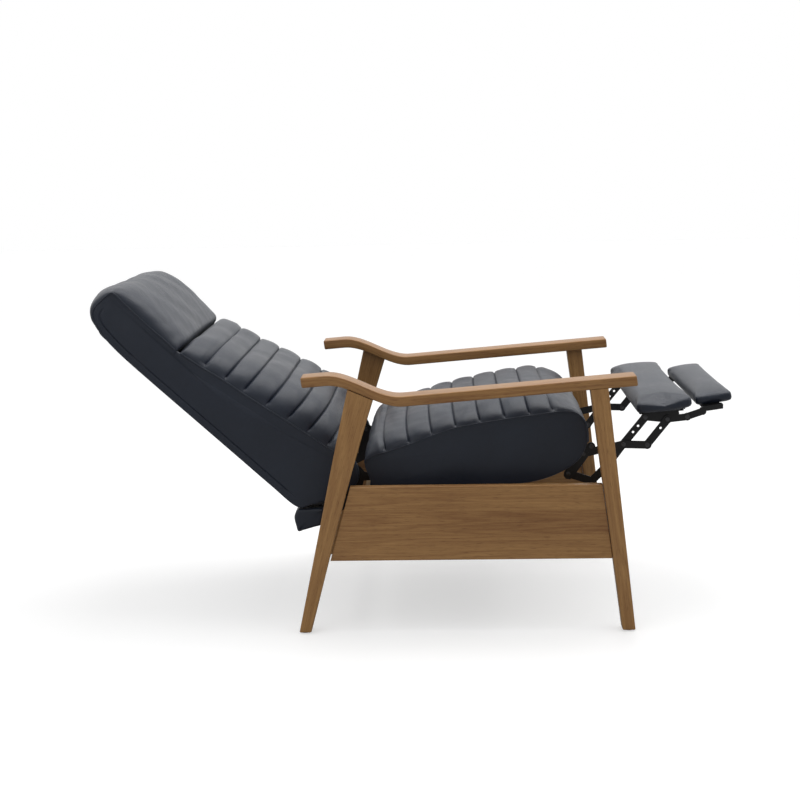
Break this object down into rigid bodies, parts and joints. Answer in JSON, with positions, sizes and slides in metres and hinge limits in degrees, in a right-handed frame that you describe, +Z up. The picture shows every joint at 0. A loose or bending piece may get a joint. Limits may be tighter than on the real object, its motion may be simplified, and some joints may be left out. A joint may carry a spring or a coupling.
{
  "type": "recliner armchair",
  "caption": "Wooden-framed recliner armchair with a channelled leather seat and back, shown reclined with its linked footrest and flipper pad out.",
  "frame": {"origin": "on the floor under the middle of the reclined chair's bounding box", "axes": "+X towards the footrest, +Y to the sitter's left, +Z up"},
  "size_m": [1.5287, 0.73, 0.825],
  "materials": {
    "oak": "satin",
    "plywood": "matte",
    "leather": "satin",
    "black_steel": "satin",
    "zinc": "satin",
    "nylon": "matte"
  },
  "bodies": {
    "chair_frame": {"right_rear_leg": "oak", "left_rear_leg": "oak", "right_front_leg": "oak", "left_front_leg": "oak", "right_side_panel": "oak", "left_side_panel": "oak", "right_arm": "oak", "left_arm": "oak", "front_cross_rail": "plywood", "rear_cross_rail": "plywood", "right_base_rail": "black_steel", "left_base_rail": "black_steel", "base_bolts": "zinc", "wood_dowels": "plywood", "foot_glides": "nylon", "base_rivets": "zinc"},
    "front_swing": {"right_swing_link": "black_steel", "left_swing_link": "black_steel", "swing_tube": "black_steel", "swing_rivets": "zinc"},
    "rear_swing": {"rear_swing_links": "black_steel"},
    "seat": {"seat_cushion": "leather", "right_seat_side": "leather", "left_seat_side": "leather", "seat_front_rail": "plywood", "seat_rear_rail": "plywood", "seat_front_roll": "leather", "seat_springs": "zinc", "right_seat_plate": "black_steel", "left_seat_plate": "black_steel", "seat_tail": "leather", "seat_rivets": "zinc"},
    "back": {"back_cushion": "leather", "headrest": "leather", "right_back_side": "leather", "left_back_side": "leather", "back_top_rail": "plywood", "back_bottom_rail": "plywood", "back_springs": "zinc", "outside_back": "leather", "right_back_bracket": "black_steel", "left_back_bracket": "black_steel"},
    "lift": {"right_lift_link": "black_steel", "left_lift_link": "black_steel", "lift_rivets": "zinc"},
    "idler": {"idler_links": "black_steel"},
    "upper": {"right_upper_link": "black_steel", "left_upper_link": "black_steel", "upper_rivets": "zinc"},
    "outer": {"outer_links": "black_steel"},
    "drive": {"drive_links": "black_steel"},
    "footrest": {"footrest_cushion": "leather", "footrest_board": "plywood", "right_footrest_bracket": "black_steel", "left_footrest_bracket": "black_steel", "footrest_rivets": "zinc"},
    "flipper": {"flipper_cushion": "leather", "flipper_board": "plywood", "flipper_brackets": "black_steel"}
  },
  "joints": [
    {"name": "front_swing_pivot", "type": "hinge", "parent": "chair_frame", "child": "front_swing", "pos_m": [0.2082, 0, 0.1957], "axis": [0, 1, 0], "range_deg": [-26.94, 0]},
    {"name": "recline", "type": "hinge", "parent": "front_swing", "child": "seat", "pos_m": [0.1749, 0, 0.3867], "axis": [0, 1, 0], "range_deg": [0, 36.92]},
    {"name": "rear_swing_pivot", "type": "hinge", "parent": "chair_frame", "child": "rear_swing", "pos_m": [-0.0591, 0, 0.1959], "axis": [0, 1, 0], "range_deg": [-28.16, 0]},
    {"name": "back_hinge", "type": "hinge", "parent": "seat", "child": "back", "pos_m": [-0.132, 0, 0.372], "axis": [0, 1, 0], "range_deg": [0, 22.42]},
    {"name": "lift_pivot", "type": "hinge", "parent": "seat", "child": "lift", "pos_m": [0.4102, 0, 0.4043], "axis": [0, 1, 0], "range_deg": [0, 75.36]},
    {"name": "idler_pivot", "type": "hinge", "parent": "seat", "child": "idler", "pos_m": [0.3751, 0, 0.3565], "axis": [0, 1, 0], "range_deg": [0, 75.72]},
    {"name": "upper_pivot", "type": "hinge", "parent": "lift", "child": "upper", "pos_m": [0.5053, 0, 0.4253], "axis": [0, 1, 0], "range_deg": [-74.75, 0]},
    {"name": "outer_pivot", "type": "hinge", "parent": "lift", "child": "outer", "pos_m": [0.5614, 0, 0.4233], "axis": [0, 1, 0], "range_deg": [-81.88, 0]},
    {"name": "drive_pivot", "type": "hinge", "parent": "lift", "child": "drive", "pos_m": [0.4294, 0, 0.4213], "axis": [0, 1, 0], "range_deg": [-58.17, 0]},
    {"name": "footrest_pivot", "type": "hinge", "parent": "upper", "child": "footrest", "pos_m": [0.5564, 0, 0.4888], "axis": [0, 1, 0], "range_deg": [0, 82.05]},
    {"name": "flipper_hinge", "type": "hinge", "parent": "footrest", "child": "flipper", "pos_m": [0.656, 0, 0.488], "axis": [0, 1, 0], "range_deg": [0, 172.02]}
  ],
  "couplings": [
    {"joint": "front_swing_pivot", "follows": "recline", "ratio": -0.72913},
    {"joint": "rear_swing_pivot", "follows": "recline", "ratio": -0.76228},
    {"joint": "back_hinge", "follows": "recline", "ratio": 0.60672},
    {"joint": "lift_pivot", "follows": "recline", "ratio": 2.0405},
    {"joint": "idler_pivot", "follows": "recline", "ratio": 2.0504},
    {"joint": "upper_pivot", "follows": "recline", "ratio": -2.0242},
    {"joint": "outer_pivot", "follows": "recline", "ratio": -2.2173},
    {"joint": "drive_pivot", "follows": "recline", "ratio": -1.575},
    {"joint": "footrest_pivot", "follows": "recline", "ratio": 2.2219},
    {"joint": "flipper_hinge", "follows": "recline", "ratio": 4.6587}
  ]
}
